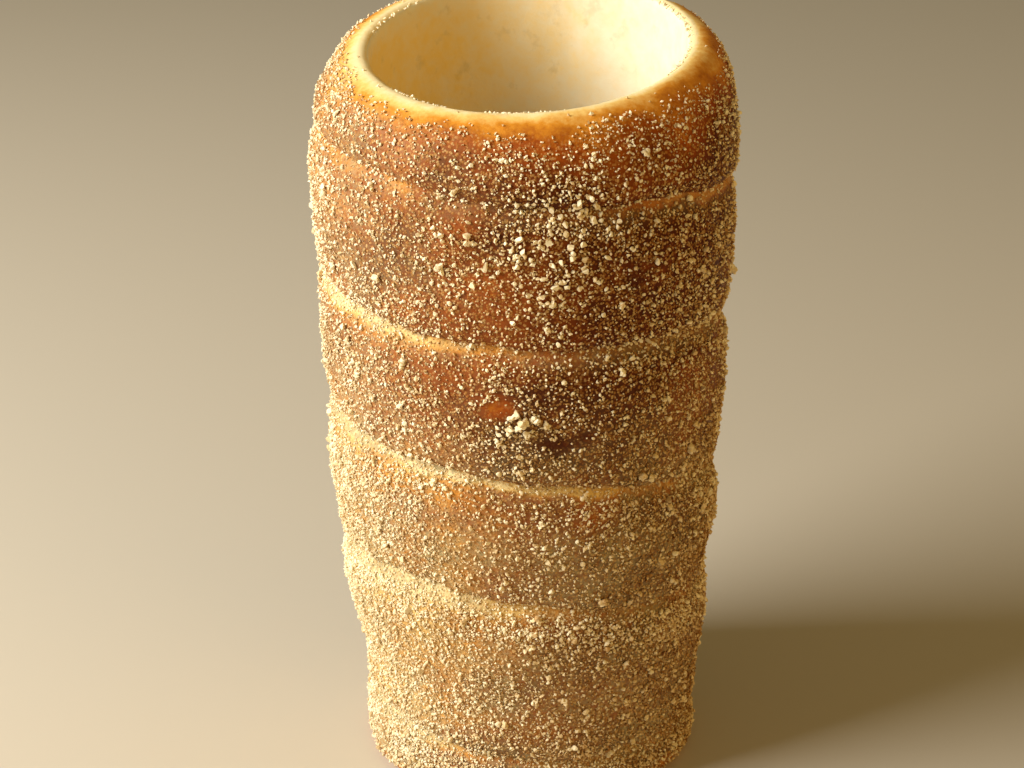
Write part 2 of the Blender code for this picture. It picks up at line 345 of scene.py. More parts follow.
# Angle, height, half width in degrees, half height in mm, how bare, how much browner
SPOTS = (
    (278.3, 83.8, 6.4, 2.1, 1.0, 0.05),
    (287.0, 85.0, 3.2, 1.5, 0.9, 0.05),
    (277.0, 88.0, 18.0, 9.0, 0.0, 0.14),
    (263.5, 91.7, 5.2, 2.7, 0.85, -0.29),
    (254.5, 126.5, 6.0, 3.0, 0.5, -0.10),
    (301.0, 115.5, 5.5, 3.2, 0.7, 0.05),
    (246.0, 96.0, 6.0, 3.0, 0.4, -0.10),
    (274.0, 94.0, 3.4, 2.4, 0.5, 0.08),
    (285.5, 96.5, 5.0, 2.0, 0.4, -0.02),
    (60.0, 96.0, 6.0, 3.0, 0.7, -0.1),
    (110.0, 70.0, 7.0, 2.4, 0.7, 0.1),
    (150.0, 112.0, 6.0, 3.0, 0.6, -0.2),
    (20.0, 52.0, 5.0, 2.2, 0.8, 0.15),
)

# %% [markdown]
# These rows are read back as smooth fields. The crust's colour starts near its full strength and
# is then lightened in the bands, on the slopes under them, on the left and over the shoulder. The
# lightening on the lit left is partly painted light.

# %% Browning rule
def spot_fields(angle, height):
    bare, browner = 0.0 * angle, 0.0 * angle
    for at, level, wide, tall, emptied, darker in SPOTS:
        aside = (np.degrees(angle) - at + 180.0) % 360.0 - 180.0
        near = np.exp(-((aside / wide) ** 2 + ((height - level) / tall) ** 2) ** 1.5)
        bare, browner = bare + emptied * near, browner + darker * near
    return np.clip(bare, 0.0, 1.0), browner


def pale_band(turns, from_upper):
    """1 in the pale strip of dough under each seam."""
    strength = by_eighth(BAND_STRENGTH, turns) * ramp(turns, 0.05, 0.3)
    width = by_eighth(BAND_WIDTH, turns)
    return strength * fade(from_upper, 0.45 * width, 1.35 * width)


def leftness(angle):
    """1 on the left of the cake and a little to the front, easing to 0 opposite."""
    return 0.5 - 0.5 * np.cos(angle - math.radians(15.0))


def lowness(height):
    """1 near the foot, easing to 0 above the middle."""
    return fade(height, 40.0, 105.0)


def browning_and_painted_light(angle, down, height, turns, from_upper):
    left, low, right = leftness(angle), lowness(height), facing(angle, 345.0)
    # Clouds of baked colour, paler on the lit left, partly as painted light, and browner again at
    # the foot
    brown_and_painted_light = 0.97 + 0.13 * lumps(angle, height, 9, 24.0, 21)
    brown_and_painted_light = brown_and_painted_light + 0.15 * lumps(angle, height, 26, 8.0, 22)
    brown_and_painted_light = brown_and_painted_light - 0.25 * left ** 2 - 0.45 * low * left ** 3
    brown_and_painted_light = brown_and_painted_light + 0.52 * fade(height, 6.0, 20.0) * left
    # The golden slope under each seam, and the pale band itself
    golden = np.minimum(by_eighth(BAND_STRENGTH, turns), 0.6) * ramp(turns, 0.1, 0.5)
    slope = fade(from_upper, 1.5, 8.5 + 4.0 * low)
    brown_and_painted_light = brown_and_painted_light - 0.36 * golden * (0.3 + 0.7 * left ** 2) * slope
    brown_and_painted_light = brown_and_painted_light - 0.66 * pale_band(turns, from_upper + 0.8 * lumps(angle, height, 60, 4.0, 23))
    # The shoulder, from the pale rim down to the full crust, paler on the lit left, partly as
    # painted light
    brown_and_painted_light = brown_and_painted_light + 0.08 * lumps(angle, down, 16, 0.8, 24) * fade(down, 7.0, 13.0)
    shoulder = ramp(down, 0.2, 2.2) * 0.35 + ramp(down, 1.6, 5.5) * 0.4
    shoulder = shoulder + ramp(down, 5.0, 15.0) * 0.27
    brown_and_painted_light = brown_and_painted_light * shoulder - (0.12 * left + 0.12 * left ** 4) * fade(down, 3.0, 14.0)
    brown_and_painted_light = brown_and_painted_light - 0.36 * right ** 2 * ramp(down, 1.0, 5.0) * fade(down, 10.0, 22.0)
    return np.clip(brown_and_painted_light + spot_fields(angle, height)[1], 0.0, 1.0)


# %% [markdown]
# Sugar sticks where the roll was turned in it, which is everywhere but on the rim. The crumbs
# and the finish both ask the same rule, so that they agree on where the crust is bare.

# %% Sugar rules
def sugared(angle, down, height, shoulder_from, shoulder_to):
    """How much sugar sticks: none on the smooth shoulder, little on the bare spots."""
    edge = down + 2.2 * lumps(angle, 0.0 * angle, 22, 9.0, 53) + 1.5
    edge = edge - 3.0 * facing(angle, 340.0) ** 2
    bare = spot_fields(angle, height)[0]
    return (0.006 + 0.994 * ramp(edge, shoulder_from, shoulder_to)) * (1.0 - 0.96 * bare)


def powdered(angle, height, turns, from_upper, sugar):
    """How strong the film of the finest sugar is: more lower down and in the pale strips."""
    low, groove = fade(height, 55.0, 100.0), fade(from_upper, 1.0, 4.5)
    film = 0.43 * low * (0.45 + 0.55 * ramp(from_upper, 4.0, 12.0)) + 0.34 * leftness(angle) ** 5
    film = film * sugar
    film = film + (0.2 * groove + 0.14 * pale_band(turns, from_upper)) * ramp(turns, 0.3, 1.0)
    return film * (1.0 + 0.4 * lumps(angle, height, 40, 6.0, 25))


# %% [markdown]
# ## The crust and the bore, finely cut
# The wall of the roll is a grid with one column for each angle, bent into a ring and welded.
# Its rows follow the strip, closer together near each seam, so the ends of the grid meet one
# turn on. That keeps the thin seams crisp with few faces, where a plain ring grid would cut
# across them in steps. Rows that fall past the rim or the base fold onto its edge, and the
# weld takes them away.

# %% The wall as a rule
COLUMNS, STRIP_STEPS, BORE_STEPS, MOUTH_ROWS = 400, 27, 44, 2
FOLD = 0.35
even = np.arange(STRIP_STEPS) / STRIP_STEPS
STRIP_ROWS = even - 0.62 * np.sin(2.0 * np.pi * even) / (2.0 * np.pi)
BORE_ROWS = np.linspace(0.007, 0.989, BORE_STEPS)


def bore_rough(angle, height, share):
    """The faint waves of the bore, which fade at the base and at the mouth."""
    rough = 0.12 * np.sin(5.0 * angle + 0.11 * height)
    rough = rough + 0.22 * lumps(angle, height, 24, 11.0, 31)
    rough = rough + 0.07 * lumps(angle, height, 80, 3.0, 32)
    return rough * ramp(share, 0.0, 0.05) * fade(share, 0.95, 0.99)


def wall_section(angle):
    """The wall cut at every angle: up the bore, over the rim, down the crust, under the base."""
    top, level = rim_height(angle), 0.0 * angle
    lines, brown_and_painted_light_rows, sugars, powders = [], [], [], []
    # Painted shade: the bore is made more golden on the left, where its inner wall lies in shade,
    # and less so at the mouth
    golden = 0.5 - 0.5 * np.cos(angle)

    def add(radius, height, brown_and_painted_light, sugar=0.0, powder=0.0):
        lines.append(in_space(angle, radius, height))
        brown_and_painted_light_rows.append(brown_and_painted_light + level)
        sugars.append(sugar + level)
        powders.append(powder + level)

    foot_inset = bore_radius(0.0) + 1.0
    add(foot_inset, level, 0.35)
    for share in BORE_ROWS:
        height = share * top
        rolled = lip_roll(angle) * ramp(share * HEIGHT, ROLL_FROM, ROLL_TO)
        radius = bore_radius(height) + bore_rough(angle, height, share) - rolled
        add(radius, height, golden * (1.0 - 0.5 * ramp(share, 0.96, 0.99)))
    ragged = 0.10 * lumps(angle, level, 150, 5.0, 33) + 0.05 * lumps(angle, level, 330, 5.0, 34)
    mouth = bore_radius(top) - lip_roll(angle) + ragged
    add(mouth + 0.02, top - 1.0, 0.3 * golden)
    add(mouth + 0.28, top - 0.42, 0.1 * golden)
    crest = bore_radius(top) + RIM_LIP - lip_roll(angle)
    start = (np.degrees(angle) - START_ANGLE) / 360.0
    base = way_down(BASE_ROUND + level, angle)
    base_facts = turn_of(angle, base)
    foot_radius, foot_height = crust(angle, base, *base_facts)
    for turn in range(FIRST_TURN, LAST_TURN):
        turns = start + turn
        upper = way_down(seam_height(turns), angle)
        lower = way_down(seam_height(turns + 1.0), angle)
        for across in STRIP_ROWS:
            down = upper + (lower - upper) * across
            down = np.where(down < FOLD, 0.0, down)
            past = down > base - FOLD
            facts = (turns, across + level, down - upper, lower - down)
            radius, height = crust(angle, down, *facts)
            at_crest = down <= 0.0
            radius = np.where(past, foot_radius, np.where(at_crest, crest + 0.4 * ragged, radius))
            height = np.where(past, foot_height, np.where(at_crest, top, height))
            brown_and_painted_light = browning_and_painted_light(angle, down, height, turns, down - upper)
            sugar = sugared(angle, down, height, 4.5, 11.0)
            powder = powdered(angle, height, turns, down - upper, sugar)
            brown_and_painted_light = np.where(past, 0.5, np.where(at_crest, 0.0, brown_and_painted_light))
            add(radius, height, brown_and_painted_light, sugar, powder)
    add(foot_radius - 0.12 * BASE_INSET, BASE_ROUND * 0.55 + level, 0.5)
    add(foot_radius - 0.42 * BASE_INSET, BASE_ROUND * 0.20 + level, 0.5)
    add(foot_radius - BASE_INSET, level, 0.5)
    for share in (0.3, 0.6, 0.85):
        radius = (foot_radius - BASE_INSET) * (1.0 - share) + foot_inset * share
        add(radius, level, 0.5 - 0.15 * share)
    for stack in (lines, brown_and_painted_light_rows, sugars, powders):
        stack.append(stack[0])
    return [np.stack(stack) for stack in (lines, brown_and_painted_light_rows, sugars, powders)]


# %% [markdown]
# The wall is built from whole arrays, welded, and given its two surfaces: the baked crust
# outside and the soft dough inside. Any edge left open would show as a number other than 0.

# %% Build the wall
WELD = 0.000004


def mesh_from(name, points, faces):
    """A mesh from arrays of points and of equal-sided faces."""
    mesh = bpy.data.meshes.new(name)
    sides = faces.shape[1]
    mesh.vertices.add(len(points))
    mesh.vertices.foreach_set("co", np.asarray(points, np.float32).ravel())
    mesh.loops.add(faces.size)
    mesh.loops.foreach_set("vertex_index", np.asarray(faces, np.int32).ravel())
    mesh.polygons.add(len(faces))
    mesh.polygons.foreach_set("loop_start", np.arange(0, faces.size, sides, dtype=np.int32))
    mesh.update(calc_edges=True)
    mesh.validate()
    return mesh


def point_values(mesh, name, values):
    layer = mesh.attributes.new(name, "FLOAT", "POINT")
    layer.data.foreach_set("value", np.asarray(values, np.float32).ravel())


column_angles = np.radians(START_ANGLE + 360.0 * np.arange(COLUMNS + 1) / COLUMNS)
wall_points, wall_brown_and_painted_light, wall_sugar, wall_powder = wall_section(column_angles)
rows = len(wall_points)
index = np.arange(rows * (COLUMNS + 1)).reshape(rows, COLUMNS + 1)
quads = np.stack([index[:-1, :-1], index[:-1, 1:], index[1:, 1:], index[1:, :-1]], axis=-1)
wall = mesh_from("dough_roll", wall_points.reshape(-1, 3), quads.reshape(-1, 4))
inside_rows = np.zeros(rows)
inside_rows[1 : 1 + BORE_STEPS + MOUTH_ROWS] = 1.0
point_values(wall, "brown_and_painted_light", wall_brown_and_painted_light)
point_values(wall, "sugared", wall_sugar)
point_values(wall, "powdered", wall_powder)
point_values(wall, "inside", np.repeat(inside_rows, COLUMNS + 1))
bm = bmesh.new()
bm.from_mesh(wall)
bmesh.ops.remove_doubles(bm, verts=bm.verts, dist=WELD)
bmesh.ops.recalc_face_normals(bm, faces=bm.faces)
open_edges = sum(not edge.is_manifold for edge in bm.edges)
inside_layer = bm.verts.layers.float["inside"]
for face in bm.faces:
    face.material_index = int(all(vert[inside_layer] > 0.5 for vert in face.verts))
    face.smooth = True
bm.to_mesh(wall)
bm.free()
roll = bpy.data.objects.new("dough_roll", wall)
bpy.context.scene.collection.objects.link(roll)
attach(roll, "root")
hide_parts("chimney_cake")
print("wall", len(wall.polygons), "faces,", open_edges, "open edges")

# %% [markdown]
# ## Crumbs
# The coating looks like sugar and nut crumb: a fine grit over the whole crust, with larger
# crumbs among it and a few clumps. Each kind is one joined mesh. A single low-sided lump is
# copied by numpy to every place. A real mesh is used because relief in a material would leave
# the outline smooth.

# %% Lump shapes
SPLINTER = ((0.0, 0.0, 0.6), (0.57, 0.0, -0.2), (-0.28, 0.5, -0.2), (-0.28, -0.5, -0.2))
CHIP = ((0.0, 0.0, 0.5), (0.0, 0.0, -0.5), (0.54, 0.0, 0.0), (-0.3, 0.46, 0.0), (-0.3, -0.46, 0.0))


def lump_shape(sides):
    """Corners and triangles of a lump with 4, 6, 8, 20 or 80 sides."""
    bm = bmesh.new()
    if sides > 8:
        bmesh.ops.create_icosphere(bm, subdivisions=1 if sides == 20 else 2, radius=0.5)
    elif sides == 8:
        bmesh.ops.create_uvsphere(bm, u_segments=4, v_segments=2, radius=0.5)
    else:
        for corner in SPLINTER if sides == 4 else CHIP:
            bm.verts.new(corner)
        bmesh.ops.convex_hull(bm, input=bm.verts)
        bmesh.ops.recalc_face_normals(bm, faces=bm.faces)
    bmesh.ops.triangulate(bm, faces=bm.faces)
    bm.verts.index_update()
    corners = np.array([vert.co[:] for vert in bm.verts])
    triangles = np.array([[vert.index for vert in face.verts] for face in bm.faces])
    bm.free()
    return corners, triangles


# %% [markdown]
# Copies that are all alike would show. So each one is turned, stretched and dented at random,
# the larger ones get a few flats, as a broken crumb has, and all are sunk a little way into the
# crust.

# %% Crumb maker
PROUD = 0.42


def turned(draw, count):
    """Random rotations, as 3 by 3 matrices."""
    q = draw.normal(size=(count, 4))
    q /= np.linalg.norm(q, axis=1, keepdims=True)
    w, x, y, z = q.T
    rows_of = (
        (1 - 2 * (y * y + z * z), 2 * (x * y - z * w), 2 * (x * z + y * w)),
        (2 * (x * y + z * w), 1 - 2 * (x * x + z * z), 2 * (y * z - x * w)),
        (2 * (x * z - y * w), 2 * (y * z + x * w), 1 - 2 * (x * x + y * y)),
    )
    return np.stack([np.stack(row, axis=-1) for row in rows_of], axis=1)


def chipped(draw, balls, chips):
    """Cuts flats into each ball, as a broken crumb has."""
    for _ in range(chips):
        facing = draw.normal(size=(len(balls), 1, 3))
        facing /= np.linalg.norm(facing, axis=2, keepdims=True)
        limit = draw.uniform(0.16, 0.36, (len(balls), 1))
        over = np.maximum((balls * facing).sum(axis=2) - limit, 0.0)
        balls = balls - over[..., None] * facing
    return balls


def make_crumbs(name, places, outs, sizes, tones, *, sides, dents, chips, sink, seed):
    """One mesh of many lumps, each at its place with its size in mm and its tone."""
    draw = np.random.default_rng(seed)
    corners, triangles = lump_shape(sides)
    count = len(places)
    shapes = corners[None] * draw.uniform(0.58, 1.32, (count, 1, 3))
    shapes = shapes * draw.uniform(1.0 - dents, 1.0 + dents, (count, len(corners), 1))
    shapes = chipped(draw, shapes, chips)
    moved = np.einsum("nij,nkj->nki", turned(draw, count), shapes) * (sizes[:, None, None] * MM)
    centres = places + outs * (sizes * (PROUD - sink) * MM)[:, None]
    points = (moved + centres[:, None]).reshape(-1, 3)
    faces = (triangles[None] + (np.arange(count) * len(corners))[:, None, None]).reshape(-1, 3)
    mesh = mesh_from(name, points, faces)
    point_values(mesh, "tone", np.repeat(tones, len(corners)))
    mesh.shade_flat()
    piece = bpy.data.objects.new(name, mesh)
    bpy.context.scene.collection.objects.link(piece)
    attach(piece, "root")
    print(name, count, "crumbs,", len(mesh.polygons), "triangles")


# %% [markdown]
# ## Where the crumbs go
# Crumbs are thrown at random over the crust, and some are then taken off again: most of those
# on the smooth shoulder, in the pale band under a seam and on the bare spots. More stay under
# the low seams and on the left. Soft random fields of three sizes make the coating thicker in
# some places than in others. Throwing and thinning gives an even scatter with natural gaps,
# with no pattern that a fixed spacing would show.

# %% Scatter rule
LOWEST, FULL_WAY, THROWN = 1.2, SHOULDER_RUN + HEIGHT - SHOULDER_DROP, 4


def scatter(count, seed, *, in_band, clumping, shoulder_from, shoulder_to):
    """Places, outward directions, how much paler and how calm each place is, and the draw."""
    draw = np.random.default_rng(seed)
    angle = draw.uniform(0.0, 2.0 * np.pi, count * THROWN)
    down = draw.uniform(1.0, FULL_WAY + 3.0, count * THROWN)
    places, outs, (turns, _, from_upper, _) = on_crust(angle, down)
    height = places[:, 2] / MM
    left, low, band = leftness(angle), lowness(height), pale_band(turns, from_upper)
    # Gaps and thicker places, of three sizes
    keep = 1.0 - clumping * (0.5 + 0.5 * lumps(angle, height, 30, 8.0, 51))
    keep = keep * (1.0 - 0.35 * clumping * (0.5 + 0.5 * lumps(angle, height, 90, 3.0, 52)))
    keep = keep * (1.0 - 0.5 * clumping * (0.5 + 0.5 * lumps(angle, height, 14, 15.0, 57)))
    # Bands, low seams, the left side, and the smooth shoulder and bare spots
    keep = keep * (1.0 - (1.0 - in_band) * band)
    keep = keep * (1.0 + 0.9 * low * ramp(from_upper, 1.0, 3.0) * fade(from_upper, 5.0, 12.0))
    keep = keep * (0.62 + 0.38 * low + 0.22 * left ** 3)
    keep = keep * sugared(angle, down, height, shoulder_from, shoulder_to) * (height > LOWEST)
    chosen = np.nonzero(draw.uniform(0.0, 1.0, len(keep)) < keep)[0][:count]
    # Tone: paler in the bands, under the low seams and near the shoulder; paler on the lit left
    # and darker towards the shaded right, partly as painted light and painted shade
    paler = 0.36 * band + 0.23 * left - 0.06 - 0.16 * low * (1.0 - left ** 2)
    paler = paler + 0.14 * low * fade(from_upper, 6.0, 14.0) - 0.16 * low * (1.0 - left) ** 2
    paler = paler + 0.25 * fade(down, 10.0, 24.0) * (1.0 - left ** 3)
    paler = paler + 0.12 * lumps(angle, height, 34, 7.0, 54)
    calm = 0.6 * left ** 4 * (0.55 + 0.45 * low)
    return places[chosen], outs[chosen], (paler[chosen], calm[chosen]), draw


def toned(tones, tint, lowest=0.0):
    """Shifts drawn tones to suit their place, and evens them out where the coating is calm."""
    paler, calm = tint
    return np.clip((tones + paler) * (1.0 - calm) + 0.8 * calm, lowest, 1.0)


# %% [markdown]
# ## Fine grit
# The fine grit comes in three pieces, a pale one, a tan one and the finest, because each kind of
# crumb is one mesh. Grit this small needs only a few sides, and sharp ones suit it: it is
# broken sugar.

# %% Fine grit
# Name, seed, how many, sizes in mm, tones, share kept in the pale bands, sides
GRIT = (
    ("grit_pale", 61, 24500, (0.40, 0.84), (0.6, 1.0), 0.4, 8),
    ("grit_tan", 62, 31000, (0.38, 0.72), (0.15, 0.85), 0.6, 6),
    ("grit_finest", 66, 47000, (0.32, 0.56), (0.2, 0.9), 1.15, 4),
)
for name, seed, count, (small, large), (tone_low, tone_high), in_band, sides in GRIT:
    places, outs, tint, draw = scatter(
        count, seed, in_band=in_band, clumping=0.7, shoulder_from=4.5, shoulder_to=10.5
    )
    sizes = small + (large - small) * draw.uniform(0.0, 1.0, len(places)) ** 1.8
    tones = toned(draw.uniform(tone_low, tone_high, len(places)), tint)
    make_crumbs(
        name, places, outs, sizes, tones,
        sides=sides, dents=0.32, chips=0, sink=0.12, seed=seed + 100,
    )

# %% [markdown]
# ## The lumps that the solid carries
# The very largest lumps stand exactly where the solid has them, by the same rule: the golden
# angle from one to the next keeps them apart. Seen close, such a lump is a little heap of
# crumbs that stuck together in the oven, so each is made as a heap that fills the lump.

# %% Lumps and heaps
CRUMBS, CRUMB_SIZE, CRUMB_SEED = 76, (1.5, 2.4), 11
CLUMP_ANGLE, CLUMP_HEIGHT, CLUMP_RADIUS = 269.3, 89.0, 39.0
CLUMP = ((0.0, 0.0, 2.9), (2.3, 0.9, 2.2), (-1.7, 1.6, 2.3), (0.9, -2.1, 2.0), (-2.3, -1.2, 1.7))


def fused_places():
    """Angle, height and size of each crumb that the solid carries."""
    draw = random.Random(CRUMB_SEED)
    golden = math.pi * (3.0 - math.sqrt(5.0))
    found = []
    for k in range(CRUMBS):
        share = ((k * 0.754877666) % 1.0) ** 0.92
        height = 7.0 + 121.0 * share + draw.uniform(-1.5, 1.5)
        size = CRUMB_SIZE[1] - (CRUMB_SIZE[1] - CRUMB_SIZE[0]) * k / CRUMBS
        found.append(((k * golden) % (2.0 * math.pi) + math.radians(START_ANGLE), height, size))
    for aside, up, size in CLUMP:
        angle = math.radians(CLUMP_ANGLE) + aside / CLUMP_RADIUS
        found.append((angle, CLUMP_HEIGHT + up, size))
    return np.array(found)


def heap(draw, places, outs, sizes, each, reach):
    """Turns each lump into a few smaller crumbs that lie against each other within it."""
    places, outs, sizes = (np.repeat(a, each, axis=0) for a in (places, outs, sizes))
    aside = draw.normal(size=places.shape)
    aside -= outs * (aside * outs).sum(axis=1, keepdims=True)
    aside *= (draw.uniform(0.1, reach, len(sizes)) / np.linalg.norm(aside, axis=1))[:, None]
    up = draw.uniform(-0.05, 0.2, len(sizes))[:, None]
    moved = places + (aside + outs * up) * sizes[:, None] * MM
    return moved, outs, sizes * draw.uniform(0.45, 0.7, len(sizes))


# %% [markdown]
# ## Larger crumbs
# Larger crumbs have more sides, with a few flats chipped into them. They lie loose all over the
# crust. At the front of the upper turns they are thickest, so some more are spilled there.

# %% Larger crumbs
LOOSE = {"in_band": 0.05, "clumping": 0.9, "shoulder_from": 9.0, "shoulder_to": 16.0}
SPILLED, SPILL_ANGLE, SPILL_HEIGHT, SPILL_TOP = 80, (279.0, 13.0), (122.0, 6.5), 133.0
fused = fused_places()
big_draw = np.random.default_rng(64)
lump_places, lump_outs, _ = on_crust(fused[:, 0], way_down(fused[:, 1], fused[:, 0]))
lump_places, lump_outs, lump_sizes = heap(big_draw, lump_places, lump_outs, fused[:, 2], 5, 0.4)
lone_places, lone_outs, _, _ = scatter(420, 67, **LOOSE)
spill_angle = np.radians(big_draw.normal(*SPILL_ANGLE, SPILLED))
spill_height = np.minimum(big_draw.normal(*SPILL_HEIGHT, SPILLED), SPILL_TOP)
spill_places, spill_outs, _ = on_crust(spill_angle, way_down(spill_height, spill_angle))
lone_sizes = 0.9 + 0.75 * big_draw.uniform(0.0, 1.0, len(lone_places) + SPILLED) ** 1.6
sizes = np.concatenate([lump_sizes, lone_sizes])
places = np.concatenate([lump_places, lone_places, spill_places])
outs = np.concatenate([lump_outs, lone_outs, spill_outs])
tones = big_draw.normal(0.9, 0.1, len(sizes)) - 0.22 * lowness(places[:, 2] / MM)
make_crumbs(
    "crumbs_large", places, outs, sizes, np.clip(tones, 0.45, 1.0),
    sides=80, dents=0.1, chips=6, sink=0.14, seed=164,
)

# %% [markdown]
# ## Small crumbs
# The small crumbs come next in size. Some lie alone, and some in heaps of four, where grains
# that touched while the sugar was sticky baked together.

# %% Small crumbs
heap_places, heap_outs, _, _ = scatter(360, 65, **LOOSE)
heap_sizes = big_draw.uniform(1.2, 1.9, len(heap_places))
heap_places, heap_outs, heap_sizes = heap(big_draw, heap_places, heap_outs, heap_sizes, 4, 0.5)
places, outs, (paler, calm), draw = scatter(
    6200, 63, in_band=0.2, clumping=0.75, shoulder_from=6.0, shoulder_to=13.0
)
small_sizes = 0.62 + 0.48 * draw.uniform(0.0, 1.0, len(places)) ** 2.0
small_tones = toned(draw.normal(0.82, 0.14, len(places)), (0.7 * paler, calm), 0.1)
heap_tones = np.clip(big_draw.normal(0.82, 0.12, len(heap_sizes)), 0.1, 1.0)
make_crumbs(
    "crumbs_small", np.concatenate([places, heap_places]), np.concatenate([outs, heap_outs]),
    np.concatenate([small_sizes, heap_sizes]), np.concatenate([small_tones, heap_tones]),
    sides=20, dents=0.2, chips=3, sink=0.14, seed=163,
)

# %% [markdown]
# ## The ragged edge of the rim
# Where the cake slid off the mandrel, the inner edge of the rim is torn a little: tiny pale
# shreds stand up from it. They are low lumps of dough set along that edge, thicker in front.

# %% Rim shreds
RIM_DRAWS = 1300
rim_draw = np.random.default_rng(71)
rim_angle = rim_draw.uniform(0.0, 2.0 * np.pi, RIM_DRAWS)
torn = lumps(rim_angle, 0.0 * rim_angle, 26, 5.0, 72)
torn = torn * (0.3 + 0.7 * facing(rim_angle, 255.0) ** 2)
rim_angle = rim_angle[rim_draw.uniform(-0.2, 0.7, RIM_DRAWS) < torn]
rim_top = rim_height(rim_angle)
rim_out = rim_draw.uniform(0.1, 0.75, len(rim_angle))
rim_radius = bore_radius(rim_top) - lip_roll(rim_angle) + rim_out
rim_places = in_space(rim_angle, rim_radius, rim_top - 0.5 * np.abs(rim_out - 1.0))
rim_up = np.tile(np.array([0.0, 0.0, 1.0]), (len(rim_angle), 1))
rim_sizes = 0.3 + 0.8 * rim_draw.uniform(0.0, 1.0, len(rim_angle)) ** 3
make_crumbs(
    "rim_shreds", rim_places, rim_up, rim_sizes, np.full(len(rim_angle), 0.95),
    sides=20, dents=0.35, chips=5, sink=0.5, seed=171,
)

# %% [markdown]
# ## Effects that the finishes share
# Two effects come back in several places, so each is a node group. Both work in the object's
# own space, in millimetres, so a size given to them is a real size.

# %% Node helpers
def add_node(tree, kind, **settings):
    node = tree.nodes.new(kind)
    for key, value in settings.items():
        if key in node.inputs:
            node.inputs[key].default_value = value
        else:
            setattr(node, key, value)
    return node


def math_node(tree, operation, first, second=None, third=None, clamp=False):
    node = add_node(tree, "ShaderNodeMath", operation=operation, use_clamp=clamp)
    for socket, value in zip(node.inputs, (first, second, third)):
        if value is None:
            continue
        if isinstance(value, (int, float)):
            socket.default_value = value
        else:
            tree.links.new(value, socket)
    return node.outputs[0]


def group_of(name, inputs, outputs):
    group = bpy.data.node_groups.new(name, "ShaderNodeTree")
    for label, default in inputs:
        socket = group.interface.new_socket(label, in_out="INPUT", socket_type="NodeSocketFloat")
        socket.default_value = default
    for label in outputs:
        group.interface.new_socket(label, in_out="OUTPUT", socket_type="NodeSocketFloat")
    return group, group.nodes.new("NodeGroupInput"), group.nodes.new("NodeGroupOutput")


def in_millimetres(tree, size_socket):
    """The object's coordinates, divided by a size in mm."""
    place = add_node(tree, "ShaderNodeTexCoord").outputs["Object"]
    scale = math_node(tree, "DIVIDE", 1.0 / MM, size_socket)
    node = add_node(tree, "ShaderNodeVectorMath", operation="SCALE")
    tree.links.new(place, node.inputs[0])
    tree.links.new(scale, node.inputs["Scale"])
    return node.outputs[0]


def stretched(tree, value, low, high):
    """The value spread out, so that low becomes 0 and high becomes 1."""
    node = add_node(tree, "ShaderNodeMapRange", clamp=True, **{"From Min": low, "From Max": high})
    tree.links.new(value, node.inputs["Value"])
    return node.outputs["Result"]


# %% [markdown]
# `dough_mottle` is the cloudy unevenness of baked dough, as a mask and as a height.

# %% Cloudy dough
mottle, m_in, m_out = group_of(
    "dough_mottle", (("Patch Size mm", 6.0), ("Detail", 5.0)), ("Mask", "Height")
)
cloud = add_node(mottle, "ShaderNodeTexNoise", Scale=1.0, Roughness=0.6)
mottle.links.new(in_millimetres(mottle, m_in.outputs["Patch Size mm"]), cloud.inputs["Vector"])
mottle.links.new(m_in.outputs["Detail"], cloud.inputs["Detail"])
mottle.links.new(stretched(mottle, cloud.outputs["Fac"], 0.3, 0.7), m_out.inputs["Mask"])
mottle.links.new(cloud.outputs["Fac"], m_out.inputs["Height"])
print("shared effect:", mottle.name)

# %% [markdown]
# `sugar_dust` is the grit too fine to be a mesh: round dots of one size, of which only a share
# is shown, each with a tone of its own.

# %% Sugar dust
dust, d_in, d_out = group_of(
    "sugar_dust", (("Grain Size mm", 0.5), ("Amount", 0.5)), ("Mask", "Height", "Tone")
)
dots = add_node(dust, "ShaderNodeTexVoronoi", Scale=1.0, Randomness=1.0)
dust.links.new(in_millimetres(dust, d_in.outputs["Grain Size mm"]), dots.inputs["Vector"])
from_middle = math_node(dust, "MULTIPLY", dots.outputs["Distance"], 1.6)
dome = math_node(dust, "SUBTRACT", 1.0, from_middle, clamp=True)
lottery = add_node(dust, "ShaderNodeSeparateColor")
dust.links.new(dots.outputs["Color"], lottery.inputs[0])
drawn = math_node(dust, "LESS_THAN", lottery.outputs[0], d_in.outputs["Amount"])
grain = math_node(dust, "MULTIPLY", dome, drawn)
dust.links.new(stretched(dust, grain, 0.1, 0.3), d_out.inputs["Mask"])
dust.links.new(grain, d_out.inputs["Height"])
dust.links.new(lottery.outputs[1], d_out.inputs["Tone"])
print("shared effect:", dust.name)

# %% [markdown]
# ## Tools for the finishes
# Colours are given as they look on a screen, from 0 to 255. The small functions below set up a
# material, read a value stored in the mesh, and join a colour ramp, a mix or a relief to it.

# %% Material helpers
def shade(red, green, blue):
    """A colour as seen on screen, 0 to 255, turned to the linear values that shaders use."""
    def linear(c):
        c = c / 255.0
        return c / 12.92 if c <= 0.04045 else ((c + 0.055) / 1.055) ** 2.4
    return (linear(red), linear(green), linear(blue), 1.0)


def new_material(name):
    material = bpy.data.materials.new(name)
    material.use_nodes = True
    tree = material.node_tree
    return material, tree, tree.nodes["Principled BSDF"]


def place_group(tree, group, **values):
    node = tree.nodes.new("ShaderNodeGroup")
    node.node_tree = group
    for label, value in values.items():
        node.inputs[label.replace("_", " ")].default_value = value
    return node


